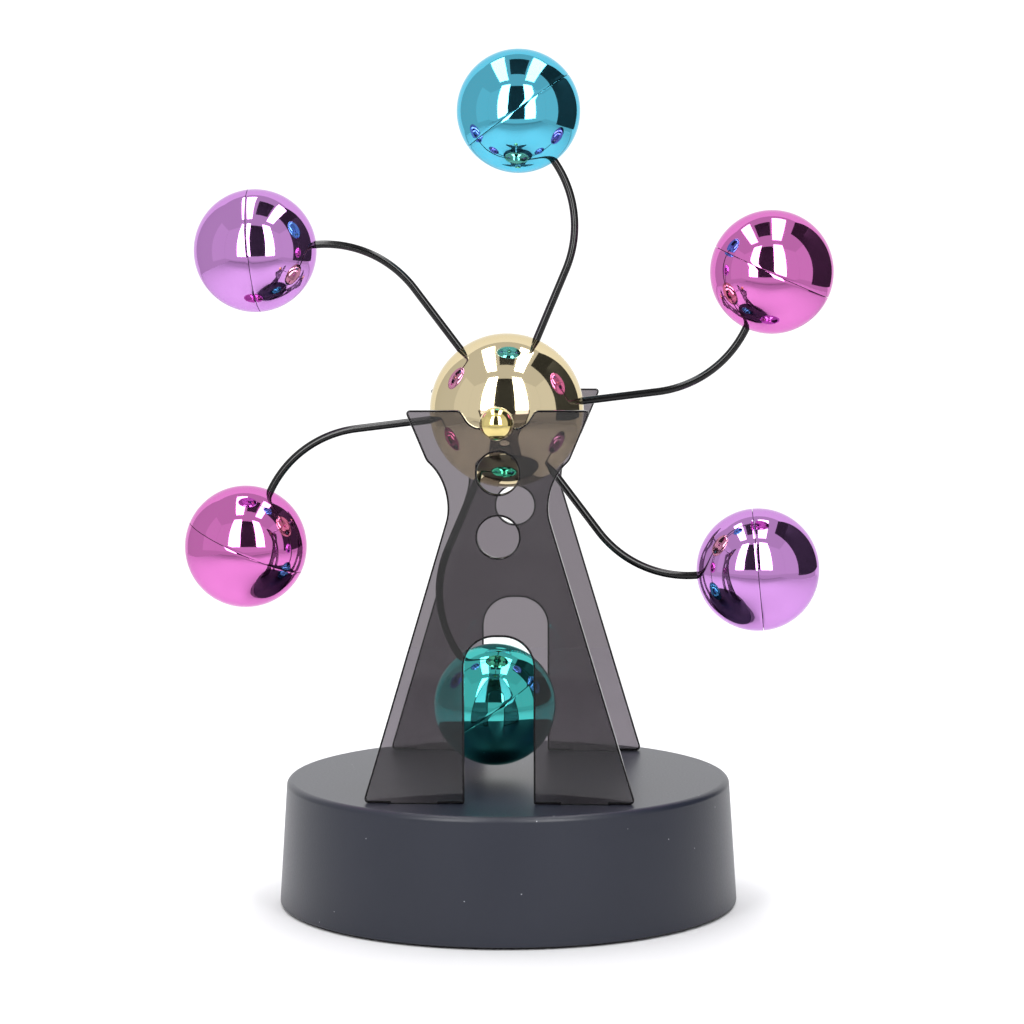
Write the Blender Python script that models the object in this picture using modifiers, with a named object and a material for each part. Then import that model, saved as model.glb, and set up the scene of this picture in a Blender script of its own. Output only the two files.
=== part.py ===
"""Magnetic desk sculpture: a six-armed rotor of tinted mirror balls that turns on an axle between two
smoked panels, over a round base that holds the drive coil and the batteries.

Run it with blender --background --python part.py, or from Blender's text editor. Metres, +Z up. The origin
is the centre of the surface that the base stands on, and the front of the sculpture faces -Y."""

import math

import bmesh
import bpy
from mathutils import Vector

GAP = 0.0003

# The round base.
BASE_BOTTOM_RADIUS = 0.0475
BASE_TOP_RADIUS = 0.04585
BASE_TOP_Z = 0.0261
BASE_EDGE_RADIUS = 0.0012
BASE_WALL = 0.0022
BASE_ROOF = 0.0025
BASE_BOTTOM_Z = 0.0005
ROOF_UNDERSIDE_Z = BASE_TOP_Z - BASE_ROOF

# The rotor, whose spoke frame has the ball's centre on +X.
AXIS_Z = 0.10224
SPOKES = 6
TOP_SPOKE_ANGLE = math.radians(87.55)
BALL_RING_RADIUS = 0.0612
BALL_RADIUS = 0.01265
BALL_WALL = 0.0012
HUB_RADIUS = 0.0159
HUB_WALL = 0.0016
HUB_BOSS_RADIUS = 0.0062
ARM_WIRE_RADIUS = 0.0008
ARM_ROOT_RADIUS = 0.0034
ARM_LEAVES_HUB_AT = math.radians(-20.5)
ARM_ENTERS_BALL_AT = math.radians(38.0)
ARM_BEND_RADIUS = 0.023
ARM_END_TO_BALL_CENTRE = 0.0083
BALL_BOSS_RADIUS = 0.003
AXLE_RADIUS = 0.001
END_BALL_RADIUS = 0.0034
END_BALL_Y = 0.0358
MAGNET_RADIUS = 0.005
MAGNET_THICKNESS = 0.004
MAGNET_CENTRE = 0.0079

# The two panels.
PANEL_Y = 0.0315
PANEL_THICKNESS = 0.0018
PANEL_FOOT_Z = BASE_TOP_Z + GAP
PANEL_TOP_Z = 0.1046
NOTCH_BOTTOM_Z = AXIS_Z - AXLE_RADIUS - GAP
TAB_CENTRE_X = 0.017
TAB_WIDTH = 0.010
TAB_BOTTOM_Z = 0.0202

# The bottom cover with its battery tray, and the door.
COVER_RADIUS = 0.045
COVER_TOP_Z = 0.0029
TRAY_HALF_X = 0.0299
TRAY_HALF_Y = 0.0284
TRAY_WALL = 0.0012
TRAY_ROOF_Z = 0.0180
DOOR_HINGE_Y = -0.0269
DOOR_HINGE_Z = 0.0017
DOOR_PIN_RADIUS = 0.0005
DOOR_PIN_REACH = 0.0010
FOOT_RADIUS = 0.005
FOOT_HEIGHT = 0.0016
FOOT_RING_RADIUS = 0.0378
SCREW_X = 0.012
SCREW_Y = 0.039
SCREW_HEAD_RADIUS = 0.0025
SCREW_SHANK_RADIUS = 0.0012
SCREW_TIP_Z = 0.0110
SCREW_BOSS_RADIUS = 0.003

# The electrical pieces.
CELL_RADIUS = 0.00725
CELL_LENGTH = 0.0505
CELL_NUB_RADIUS = 0.00275
CELL_NUB_HEIGHT = 0.001
CELL_PITCH = 0.0148
CELL_Z = COVER_TOP_Z + GAP + CELL_RADIUS
PLATE_THICKNESS = 0.0005
PLATE_SIZE = 0.011
SPRING_WIRE_RADIUS = 0.00035
COIL_BOTTOM_Z = 0.0195
COIL_TOP_Z = 0.0229
COIL_RADIUS = 0.015
BOARD_X = 0.0338
BOARD_THICKNESS = 0.0016


def clear_scene():
    for old in list(bpy.data.objects):
        bpy.data.objects.remove(old, do_unlink=True)


def new_collection(name):
    collection = bpy.data.collections.new(name)
    bpy.context.scene.collection.children.link(collection)
    return collection


def material(name, colour, roughness, metallic=0.0):
    made = bpy.data.materials.new(name)
    made.use_nodes = True
    shader = made.node_tree.nodes["Principled BSDF"]
    shader.inputs["Base Color"].default_value = (*colour, 1.0)
    shader.inputs["Roughness"].default_value = roughness
    shader.inputs["Metallic"].default_value = metallic
    made.diffuse_color = (*colour, 1.0)
    return made


def empty(name, location=(0, 0, 0), turn_y=0.0, parent=None):
    """A guide on a joint's axis, which carries the pieces that turn with it."""
    guide = bpy.data.objects.new(name, None)
    guide.location = location
    guide.rotation_euler = (0, turn_y, 0)
    guide.parent = parent
    sculpture.objects.link(guide)
    return guide


def place(piece, surface, location=(0, 0, 0), rotation=(0, 0, 0), parent=None):
    """Puts a finished piece in the sculpture with its material."""
    piece.location = location
    piece.rotation_euler = rotation
    piece.parent = parent
    piece.data.materials.append(surface)
    sculpture.objects.link(piece)
    return piece


def place_cutter(piece, location=(0, 0, 0), rotation=(0, 0, 0), parent=None):
    """Puts a shape that cuts or joins another in the guides' collection."""
    piece.location = location
    piece.rotation_euler = rotation
    piece.parent = parent
    piece.hide_render = True
    piece.display_type = "WIRE"
    guides.objects.link(piece)
    return piece


def combine(piece, other, operation):
    boolean = piece.modifiers.new(f"{operation.lower()}_{other.name}", "BOOLEAN")
    boolean.operation = operation
    boolean.object = other


def shade(mesh, sharp_degrees=35):
    mesh.shade_smooth()
    mesh.set_sharp_from_angle(angle=math.radians(sharp_degrees))


def box(name, low, high):
    """A box between two corners."""
    low, high = Vector(low), Vector(high)
    made = bmesh.new()
    bmesh.ops.create_cube(made, size=1)
    bmesh.ops.scale(made, vec=high - low, verts=made.verts)
    bmesh.ops.translate(made, vec=(low + high) / 2, verts=made.verts)
    mesh = bpy.data.meshes.new(name)
    made.to_mesh(mesh)
    made.free()
    return bpy.data.objects.new(name, mesh)


def rod(name, radius, bottom, top, segments=16):
    """A cylinder on its own Z axis between two heights."""
    made = bmesh.new()
    bmesh.ops.create_cone(
        made, cap_ends=True, segments=segments, radius1=radius, radius2=radius, depth=top - bottom,
    )
    bmesh.ops.translate(made, vec=(0, 0, (bottom + top) / 2), verts=made.verts)
    mesh = bpy.data.meshes.new(name)
    made.to_mesh(mesh)
    made.free()
    shade(mesh)
    return bpy.data.objects.new(name, mesh)


def turned(name, profile, segments, closed=False):
    """Turns a profile of (radius, height) about Z. It runs down the outer side."""
    mesh = bpy.data.meshes.new(name)
    edges = [(i, i + 1) for i in range(len(profile) - 1)]
    if closed:
        edges.append((len(profile) - 1, 0))
    mesh.from_pydata([(radius, 0, height) for radius, height in profile], edges, [])
    piece = bpy.data.objects.new(name, mesh)
    screw = piece.modifiers.new("turn", "SCREW")
    screw.steps = segments
    screw.render_steps = segments
    screw.use_merge_vertices = True
    screw.merge_threshold = 0.00001
    screw.use_smooth_shade = True
    return piece


def arc(radius, start_degrees, end_degrees, steps, centre=(0.0, 0.0)):
    """Points on a circle, both ends included, in a turned profile's plane."""
    points = []
    for i in range(steps + 1):
        angle = math.radians(start_degrees + (end_degrees - start_degrees) * i / steps)
        points.append((centre[0] + radius * math.cos(angle), centre[1] + radius * math.sin(angle)))
    return points


def degrees_at_radius(sphere_radius, ring_radius):
    """Latitude at which a sphere is a ring of the given radius."""
    return math.degrees(math.acos(ring_radius / sphere_radius))


def degrees_at_height(sphere_radius, height):
    """Latitude at which a sphere has the given height."""
    return math.degrees(math.asin(height / sphere_radius))


def rounded(corners, step_degrees=15):
    """An open or closed outline's points. Each corner is (x, y) or (x, y, radius)."""
    points = []
    for i, corner in enumerate(corners):
        here = Vector(corner[:2])
        if len(corner) < 3:
            points.append(tuple(here))
            continue
        back = (Vector(corners[i - 1][:2]) - here).normalized()
        ahead = (Vector(corners[(i + 1) % len(corners)][:2]) - here).normalized()
        turn = math.pi - back.angle(ahead)
        side = 1 if ahead.cross(back) > 0 else -1
        start = here + back * corner[2] * math.tan(turn / 2)
        centre = start + side * corner[2] * Vector((back.y, -back.x))
        steps = max(2, round(math.degrees(turn) / step_degrees))
        spoke = start - centre
        for k in range(steps + 1):
            swing = side * turn * k / steps
            turned_spoke = Vector((
                spoke.x * math.cos(swing) - spoke.y * math.sin(swing),
                spoke.x * math.sin(swing) + spoke.y * math.cos(swing),
            ))
            points.append(tuple(centre + turned_spoke))
    return points


def wire(name, points, radius):
    """A round wire along a list of points."""
    curve = bpy.data.curves.new(name, "CURVE")
    curve.dimensions = "3D"
    curve.bevel_depth = radius
    curve.bevel_resolution = 2
    curve.use_fill_caps = True
    line = curve.splines.new("POLY")
    line.points.add(len(points) - 1)
    for point, place_at in zip(line.points, points):
        point.co = (*place_at, 1)
    return bpy.data.objects.new(name, curve)


def plate(name, outlines, thickness):
    """A flat plate in its own XY plane: the first outline with the others as holes."""
    curve = bpy.data.curves.new(name, "CURVE")
    curve.dimensions = "2D"
    curve.fill_mode = "BOTH"
    curve.extrude = thickness / 2
    for outline in outlines:
        line = curve.splines.new("POLY")
        line.points.add(len(outline) - 1)
        for point, (x, y) in zip(line.points, outline):
            point.co = (x, y, 0, 1)
        line.use_cyclic_u = True
    return bpy.data.objects.new(name, curve)


# The base: a turned shell with slots for the panels' tabs and bosses for the cover's screws.


def base_shell():
    profile = rounded([
        (0, BASE_TOP_Z),
        (BASE_TOP_RADIUS, BASE_TOP_Z, BASE_EDGE_RADIUS),
        (BASE_BOTTOM_RADIUS, BASE_BOTTOM_Z, 0.0004),
        (BASE_BOTTOM_RADIUS - BASE_WALL, BASE_BOTTOM_Z),
        (BASE_TOP_RADIUS - BASE_WALL, ROOF_UNDERSIDE_Z, 0.001),
        (0, ROOF_UNDERSIDE_Z),
    ], step_degrees=30)
    shell = turned("base_shell", profile, 56)
    for x in (-SCREW_X, SCREW_X):
        for y in (-SCREW_Y, SCREW_Y):
            boss = rod("screw_boss", SCREW_BOSS_RADIUS, COVER_TOP_Z + GAP, ROOF_UNDERSIDE_Z + BASE_ROOF / 2)
            combine(shell, place_cutter(boss, (x, y, 0)), "UNION")
            hole = rod("screw_boss_hole", SCREW_SHANK_RADIUS + GAP, 0, SCREW_TIP_Z + 0.001)
            combine(shell, place_cutter(hole, (x, y, 0)), "DIFFERENCE")
    for x in (-TAB_CENTRE_X, TAB_CENTRE_X):
        for y in (-PANEL_Y, PANEL_Y):
            reach = Vector((TAB_WIDTH / 2 + GAP, PANEL_THICKNESS / 2 + GAP, BASE_ROOF))
            slot = box("tab_slot", -reach, reach)
            combine(shell, place_cutter(slot, (x, y, BASE_TOP_Z - BASE_ROOF / 2)), "DIFFERENCE")
    place(shell, material("base_black", (0.045, 0.050, 0.066), 0.35))


def bottom_cover():
    cover = rod("bottom_cover", COVER_RADIUS, BASE_BOTTOM_Z, COVER_TOP_Z, 48)
    tray = box(
        "tray_outside",
        (-TRAY_HALF_X - TRAY_WALL, -TRAY_HALF_Y - TRAY_WALL, BASE_BOTTOM_Z + 0.001),
        (TRAY_HALF_X + TRAY_WALL, TRAY_HALF_Y + TRAY_WALL, TRAY_ROOF_Z + TRAY_WALL),
    )
    combine(cover, place_cutter(tray), "UNION")
    room = box("tray_inside", (-TRAY_HALF_X, -TRAY_HALF_Y, -0.001), (TRAY_HALF_X, TRAY_HALF_Y, TRAY_ROOF_Z))
    combine(cover, place_cutter(room), "DIFFERENCE")
    pin_hole = rod("pin_hole", DOOR_PIN_RADIUS + 0.0002, -TRAY_HALF_X - 0.001, TRAY_HALF_X + 0.001)
    place_cutter(pin_hole, (0, DOOR_HINGE_Y, DOOR_HINGE_Z), (0, math.pi / 2, 0))
    combine(cover, pin_hole, "DIFFERENCE")
    notch = rod("finger_notch", 0.006, -0.001, 0.0018, 20)
    combine(cover, place_cutter(notch, (0, TRAY_HALF_Y - 0.002, 0)), "DIFFERENCE")
    for x, y in foot_places():
        recess = rod("foot_recess", FOOT_RADIUS + GAP, -0.001, FOOT_HEIGHT + GAP, 16)
        combine(cover, place_cutter(recess, (x, y, 0)), "DIFFERENCE")
    for x in (-SCREW_X, SCREW_X):
        for y in (-SCREW_Y, SCREW_Y):
            head_room = rod("head_room", SCREW_HEAD_RADIUS + GAP, -0.001, 0.0016)
            combine(cover, place_cutter(head_room, (x, y, 0)), "DIFFERENCE")
            shank_room = rod("shank_room", SCREW_SHANK_RADIUS + GAP, 0, 0.004)
            combine(cover, place_cutter(shank_room, (x, y, 0)), "DIFFERENCE")
    place(cover, material("cover_black", (0.02, 0.02, 0.022), 0.5))


def foot_places():
    """Centres of the four rubber feet, which lie outside the door."""
    return [
        (FOOT_RING_RADIUS * math.cos(k * math.pi / 2), FOOT_RING_RADIUS * math.sin(k * math.pi / 2))
        for k in range(4)
    ]


def feet():
    rubber = material("foot_rubber", (0.03, 0.03, 0.03), 0.8)
    for number, (x, y) in enumerate(foot_places(), 1):
        profile = rounded(
            [(0, FOOT_HEIGHT), (FOOT_RADIUS, FOOT_HEIGHT), (FOOT_RADIUS, 0, 0.0004), (0, 0)], 45,
        )
        place(turned(f"foot_{number}", profile, 16), rubber, (x, y, 0))


def cover_screws():
    steel = material("screw_steel", (0.55, 0.55, 0.56), 0.3, 1.0)
    head_bottom, head_top = 0.0006, 0.0013
    profile = [
        (0, SCREW_TIP_Z),
        (SCREW_SHANK_RADIUS * 0.4, SCREW_TIP_Z),
        (SCREW_SHANK_RADIUS, SCREW_TIP_Z - 0.001),
        (SCREW_SHANK_RADIUS, head_top),
        (SCREW_HEAD_RADIUS, head_top),
        (SCREW_HEAD_RADIUS, head_bottom),
        (0, head_bottom),
    ]
    number = 0
    for x in (-SCREW_X, SCREW_X):
        for y in (-SCREW_Y, SCREW_Y):
            number += 1
            screw = turned(f"cover_screw_{number}", profile, 12)
            for reach_x, reach_y in ((0.0014, 0.0003), (0.0003, 0.0014)):
                arm = box("cross_recess", (-reach_x, -reach_y, 0), (reach_x, reach_y, 0.001))
                combine(screw, place_cutter(arm, (x, y, 0)), "DIFFERENCE")
            place(screw, steel, (x, y, 0))


# The battery door hangs on two moulded pins at the front edge of the tray.


def battery_door():
    pivot = empty("battery_door_pivot", (0, DOOR_HINGE_Y, DOOR_HINGE_Z))
    barrel_radius = COVER_TOP_Z - DOOR_HINGE_Z
    half_x = TRAY_HALF_X - GAP
    door = rod("battery_door", barrel_radius, -half_x, half_x, 24)
    leaf = box(
        "door_leaf",
        (-half_x, 0, BASE_BOTTOM_Z - DOOR_HINGE_Z),
        (half_x, TRAY_HALF_Y - GAP - DOOR_HINGE_Y, barrel_radius),
    )
    combine(door, place_cutter(leaf, parent=pivot), "UNION")
    pins = rod("door_pins", DOOR_PIN_RADIUS, -half_x - DOOR_PIN_REACH, half_x + DOOR_PIN_REACH, 16)
    combine(door, place_cutter(pins, rotation=(0, math.pi / 2, 0), parent=pivot), "UNION")
    place(door, material("door_black", (0.02, 0.02, 0.022), 0.5), rotation=(0, math.pi / 2, 0), parent=pivot)


# The panels: one outline, used at the front and at the back.


def panel_outline():
    """Half of the outline from the arch to the notch, then the same half mirrored."""
    arch_half_width, arch_spring_z, arch_rise = 0.0069, 0.0539, 0.0057
    arch = []
    for k in range(7):
        turn = math.radians(15 * k)
        arch.append((arch_half_width * math.sin(turn), arch_spring_z + arch_rise * math.cos(turn)))
    side = rounded([
        (arch_half_width, arch_spring_z),
        (arch_half_width, PANEL_FOOT_Z, 0.0005),
        (TAB_CENTRE_X - TAB_WIDTH / 2, PANEL_FOOT_Z),
        (TAB_CENTRE_X - TAB_WIDTH / 2, TAB_BOTTOM_Z),
        (TAB_CENTRE_X + TAB_WIDTH / 2, TAB_BOTTOM_Z),
        (TAB_CENTRE_X + TAB_WIDTH / 2, PANEL_FOOT_Z),
        (0.0272, PANEL_FOOT_Z, 0.0012),
        (0.00836, 0.0890, 0.012),
        (0.01415, 0.0946, 0.0015),
        (0.01835, PANEL_TOP_Z, 0.0015),
        (0.0074, PANEL_TOP_Z, 0.0004),
        (0.0052, NOTCH_BOTTOM_Z, 0.003),
        (0, NOTCH_BOTTOM_Z),
    ])
    half = arch + side[1:-1]
    other_half = [(-x, z) for x, z in reversed(half[1:])]
    return half + other_half


def panels():
    smoked = material("panel_smoke", (0.30, 0.27, 0.30), 0.1)
    holes = [arc(0.00415, 0, 345, 23, (0, 0.09215)), arc(0.0041, 0, 345, 23, (0, 0.0795))]
    for name, y in (("front_panel", -PANEL_Y), ("rear_panel", PANEL_Y)):
        panel = plate(name, [panel_outline(), *holes], PANEL_THICKNESS)
        place(panel, smoked, (0, y, 0), (math.pi / 2, 0, 0))


# The rotor: everything below turns about the axle.


def hub_halves(pivot):
    """Two moulded halves that clamp the arms and the axle between their bosses."""
    gold = material("hub_champagne", (0.83, 0.76, 0.56), 0.12, 1.0)
    bore = AXLE_RADIUS + GAP
    inner_radius = HUB_RADIUS - HUB_WALL
    seam = GAP / 2
    outer = arc(HUB_RADIUS, degrees_at_radius(HUB_RADIUS, bore), degrees_at_height(HUB_RADIUS, seam), 8)
    inner_start = degrees_at_height(inner_radius, seam)
    inner_end = degrees_at_radius(inner_radius, HUB_BOSS_RADIUS)
    inner = arc(inner_radius, inner_start, inner_end, 4)
    profile = outer + inner + [(HUB_BOSS_RADIUS, seam), (bore, seam)]
    channels = []
    for k in range(SPOKES // 2):
        channel = rod(f"arm_channel_{k}", ARM_WIRE_RADIUS + GAP, -HUB_RADIUS * 1.2, HUB_RADIUS * 1.2, 8)
        direction = TOP_SPOKE_ANGLE + ARM_LEAVES_HUB_AT + k * 2 * math.pi / SPOKES
        channels.append(place_cutter(channel, rotation=(0, math.pi / 2 - direction, 0), parent=pivot))
    for name, tilt in (("hub_front_shell", math.pi / 2), ("hub_rear_shell", -math.pi / 2)):
        half = turned(name, profile, 28, closed=True)
        for channel in channels:
            combine(half, channel, "DIFFERENCE")
        place(half, gold, rotation=(tilt, 0, 0), parent=pivot)


def axle_and_end_balls(pivot):
    steel = material("axle_steel", (0.60, 0.60, 0.61), 0.2, 1.0)
    axle_half_length = END_BALL_Y - GAP
    axle = rod("axle", AXLE_RADIUS, -axle_half_length, axle_half_length, 16)
    place(axle, steel, rotation=(math.pi / 2, 0, 0), parent=pivot)
    gold = material("end_ball_gold", (0.80, 0.62, 0.30), 0.1, 1.0)
    bore = AXLE_RADIUS + GAP
    sphere = arc(END_BALL_RADIUS, 90, -degrees_at_radius(END_BALL_RADIUS, bore), 8)
    profile = [(0, END_BALL_RADIUS)] + sphere[1:] + [(bore, 0), (0, 0)]
    for name, side in (("end_ball_front", -1), ("end_ball_rear", 1)):
        y = side * END_BALL_Y
        tilt = -side * math.pi / 2
        place(turned(name, profile, 16), gold, (0, y, 0), (tilt, 0, 0), pivot)


def arm_route():
    """From the hub's middle to the ball, in the spoke frame, with one wide bend."""
    opening = ARM_ENTERS_BALL_AT - ARM_LEAVES_HUB_AT
    bend_distance = BALL_RING_RADIUS * math.sin(ARM_ENTERS_BALL_AT) / math.sin(opening)
    root = Vector((math.cos(ARM_LEAVES_HUB_AT), math.sin(ARM_LEAVES_HUB_AT)))
    entry = Vector((math.cos(ARM_ENTERS_BALL_AT), math.sin(ARM_ENTERS_BALL_AT)))
    corners = [
        tuple(root * ARM_ROOT_RADIUS),
        (*(root * bend_distance), ARM_BEND_RADIUS),
        tuple(Vector((BALL_RING_RADIUS, 0)) - entry * ARM_END_TO_BALL_CENTRE),
    ]
    return [(x, 0, z) for x, z in rounded(corners, step_degrees=8)]


def inner_half_profile():
    """The ball's half on the arm's side, with a boss that the arm's end is pressed into."""
    inner_radius = BALL_RADIUS - BALL_WALL
    seam = GAP / 2
    bore = ARM_WIRE_RADIUS + GAP
    outer = arc(BALL_RADIUS, -degrees_at_height(BALL_RADIUS, seam), -degrees_at_radius(BALL_RADIUS, bore), 5)
    inner = arc(
        inner_radius,
        -degrees_at_radius(inner_radius, BALL_BOSS_RADIUS),
        -degrees_at_height(inner_radius, seam),
        3,
    )
    boss_top = -ARM_END_TO_BALL_CENTRE
    return outer + [(bore, boss_top), (BALL_BOSS_RADIUS, boss_top)] + inner


def outer_half_profile():
    """The ball's outer half, a plain hemisphere."""
    inner_radius = BALL_RADIUS - BALL_WALL
    seam = GAP / 2
    outer = arc(BALL_RADIUS, 90, degrees_at_height(BALL_RADIUS, seam), 5)
    inner = arc(inner_radius, degrees_at_height(inner_radius, seam), 90, 4)
    return [(0, BALL_RADIUS)] + outer[1:] + inner[:-1] + [(0, inner_radius)]


def spokes(pivot):
    black = material("arm_black", (0.015, 0.015, 0.017), 0.15)
    magnet_steel = material("magnet_nickel", (0.70, 0.68, 0.65), 0.25, 1.0)
    tints = {
        "cyan": material("ball_cyan", (0.20, 0.62, 0.75), 0.06, 1.0),
        "pink": material("ball_pink", (0.75, 0.25, 0.62), 0.06, 1.0),
        "violet": material("ball_violet", (0.62, 0.33, 0.70), 0.06, 1.0),
        "teal": material("ball_teal", (0.14, 0.55, 0.50), 0.06, 1.0),
    }
    # From the top, turning as a clock does when seen from the front.
    order = ("cyan", "pink", "violet", "teal", "pink", "violet")
    seam_tilt = math.pi / 2 - ARM_ENTERS_BALL_AT
    for k, tint in enumerate(order):
        angle = TOP_SPOKE_ANGLE - k * 2 * math.pi / SPOKES
        spoke = empty(f"spoke_{k + 1}", turn_y=-angle, parent=pivot)
        place(wire(f"arm_{k + 1}", arm_route(), ARM_WIRE_RADIUS), black, parent=spoke)
        centre = (BALL_RING_RADIUS, 0, 0)
        inner = turned(f"ball_{k + 1}_inner_half", inner_half_profile(), 18, closed=True)
        place(inner, tints[tint], centre, (0, seam_tilt, 0), spoke)
        outer = turned(f"ball_{k + 1}_outer_half", outer_half_profile(), 18)
        place(outer, tints[tint], centre, (0, seam_tilt, 0), spoke)
        magnet = rod(f"magnet_{k + 1}", MAGNET_RADIUS, -MAGNET_THICKNESS / 2, MAGNET_THICKNESS / 2, 16)
        place(magnet, magnet_steel, (BALL_RING_RADIUS + MAGNET_CENTRE, 0, 0), (0, math.pi / 2, 0), spoke)


# The drive and the batteries inside the base.


def cells():
    """Four cells side by side, every other one reversed, with a spring at each negative end."""
    label = material("cell_label", (0.10, 0.16, 0.22), 0.35)
    spring_steel = material("spring_steel", (0.62, 0.60, 0.57), 0.3, 1.0)
    half = CELL_LENGTH / 2
    shoulder = half - CELL_NUB_HEIGHT
    profile = [
        (0, half),
        (CELL_NUB_RADIUS, half),
        (CELL_NUB_RADIUS, shoulder),
        (CELL_RADIUS, shoulder),
        (CELL_RADIUS, -half),
        (0, -half),
    ]
    inner_face_y = TRAY_HALF_Y - GAP - PLATE_THICKNESS
    centre_y = inner_face_y - GAP - half
    for k in range(4):
        x = (k - 1.5) * CELL_PITCH
        facing = -1 if k % 2 == 0 else 1
        tilt = -facing * math.pi / 2
        place(turned(f"cell_{k + 1}", profile, 20), label, (x, facing * centre_y, CELL_Z), (tilt, 0, 0))
        spring = wire(f"contact_spring_{k + 1}", spring_route(inner_face_y, CELL_LENGTH), SPRING_WIRE_RADIUS)
        spring.data.bevel_resolution = 1
        place(spring, spring_steel, (x, 0, CELL_Z), (tilt, 0, 0))


def spring_route(plate_face, cell_length):
    """A conical helix along Z between a contact plate and a cell's flat end."""
    wide, narrow, turns, points_per_turn = 0.0046, 0.0026, 3, 8
    start = -plate_face + GAP + SPRING_WIRE_RADIUS
    end = plate_face - GAP - cell_length - GAP - SPRING_WIRE_RADIUS
    points = []
    for i in range(turns * points_per_turn + 1):
        share = i / (turns * points_per_turn)
        radius = wide + (narrow - wide) * share
        angle = 2 * math.pi * turns * share
        points.append((radius * math.cos(angle), radius * math.sin(angle), start + (end - start) * share))
    return points


def contact_plates():
    """Two end terminals and a link on the rear wall, and two links on the front wall."""
    nickel = material("contact_nickel", (0.66, 0.65, 0.62), 0.25, 1.0)
    wall_y = TRAY_HALF_Y - GAP - PLATE_THICKNESS / 2
    layout = ((-1.5, -1.5, 1), (-0.5, 0.5, 1), (1.5, 1.5, 1), (-1.5, -0.5, -1), (0.5, 1.5, -1))
    for number, (first, last, wall) in enumerate(layout, 1):
        half_length = (last - first) * CELL_PITCH / 2 + PLATE_SIZE / 2
        reach = Vector((half_length, PLATE_THICKNESS / 2, PLATE_SIZE / 2))
        contact = box(f"contact_plate_{number}", -reach, reach)
        place(contact, nickel, ((first + last) / 2 * CELL_PITCH, wall * wall_y, CELL_Z))


def drive_coil():
    """A flat coil on its bobbin under the middle of the base's roof."""
    core_radius, flange, hole = 0.0045, 0.0008, 0.003
    bobbin = [
        (hole, COIL_TOP_Z),
        (COIL_RADIUS, COIL_TOP_Z),
        (COIL_RADIUS, COIL_TOP_Z - flange),
        (core_radius, COIL_TOP_Z - flange),
        (core_radius, COIL_BOTTOM_Z + flange),
        (COIL_RADIUS, COIL_BOTTOM_Z + flange),
        (COIL_RADIUS, COIL_BOTTOM_Z),
        (hole, COIL_BOTTOM_Z),
    ]
    place(turned("coil_bobbin", bobbin, 24, closed=True), material("bobbin_white", (0.8, 0.8, 0.78), 0.5))
    top, bottom = COIL_TOP_Z - flange - GAP, COIL_BOTTOM_Z + flange + GAP
    winding_outer, winding_inner = COIL_RADIUS - 0.0006, core_radius + GAP
    winding = [(winding_inner, top), (winding_outer, top), (winding_outer, bottom), (winding_inner, bottom)]
    copper = material("winding_copper", (0.72, 0.34, 0.18), 0.3, 1.0)
    place(turned("coil_winding", winding, 24, closed=True), copper)


def circuit():
    """The upright driver board beside the tray, its transistor, and the twin lead from the coil."""
    half_y, bottom, top = 0.009, 0.005, 0.018
    board = box("circuit_board", (-BOARD_THICKNESS / 2, -half_y, bottom), (BOARD_THICKNESS / 2, half_y, top))
    place(board, material("board_green", (0.04, 0.22, 0.10), 0.4), (BOARD_X, 0, 0))
    body_radius = 0.0023
    transistor = rod("drive_transistor", body_radius, 0.009, 0.0138, 16)
    stand_off = BOARD_X + BOARD_THICKNESS / 2 + GAP + body_radius
    place(transistor, material("transistor_black", (0.02, 0.02, 0.02), 0.4), (stand_off, 0, 0))
    lead_radius, lead_z = 0.0006, 0.0207
    corners = [(COIL_RADIUS + GAP, lead_z), (BOARD_X, lead_z, 0.0015), (BOARD_X, top + GAP)]
    route = [(x, 0, z) for x, z in rounded(corners)]
    place(wire("coil_twin_lead", route, lead_radius), material("lead_red", (0.5, 0.03, 0.03), 0.4))


clear_scene()
sculpture = new_collection("magnetic_desk_sculpture")
guides = new_collection("cutters_and_guides")

base_shell()
bottom_cover()
feet()
cover_screws()
battery_door()
panels()

rotor_pivot = empty("rotor_pivot", (0, 0, AXIS_Z))
hub_halves(rotor_pivot)
axle_and_end_balls(rotor_pivot)
spokes(rotor_pivot)

cells()
contact_plates()
drive_coil()
circuit()
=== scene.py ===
"""Magnetic desk sculpture, put together from the base upwards. Metres, +Z up, the front faces -Y."""

import math

import bmesh
import bpy
from mathutils import Matrix, Vector


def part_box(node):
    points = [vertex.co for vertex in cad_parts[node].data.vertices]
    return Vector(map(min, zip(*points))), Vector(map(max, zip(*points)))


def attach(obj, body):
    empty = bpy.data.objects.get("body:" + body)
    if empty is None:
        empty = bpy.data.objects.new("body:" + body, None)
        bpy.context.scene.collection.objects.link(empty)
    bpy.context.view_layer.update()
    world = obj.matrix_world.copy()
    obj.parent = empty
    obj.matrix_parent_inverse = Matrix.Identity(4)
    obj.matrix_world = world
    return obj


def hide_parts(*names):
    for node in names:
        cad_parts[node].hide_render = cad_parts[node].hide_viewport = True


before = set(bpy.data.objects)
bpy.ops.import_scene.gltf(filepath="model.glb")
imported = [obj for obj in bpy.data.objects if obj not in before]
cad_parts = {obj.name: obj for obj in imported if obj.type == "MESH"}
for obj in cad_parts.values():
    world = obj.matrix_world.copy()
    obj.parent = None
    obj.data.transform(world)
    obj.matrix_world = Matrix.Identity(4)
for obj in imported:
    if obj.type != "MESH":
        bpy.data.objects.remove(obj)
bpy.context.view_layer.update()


# Base shell. One ABS moulding, a short drum with a little draft, hollow underneath and with four slots in its
# roof for the panels' tabs. The mould is finely spark-eroded, so the slate-black plastic looks satin.
def leave_only(piece=None):
    """Deselects everything and makes one piece the active one."""
    bpy.ops.object.select_all(action="DESELECT")
    if piece is not None:
        piece.select_set(True)
        bpy.context.view_layer.objects.active = piece


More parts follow.
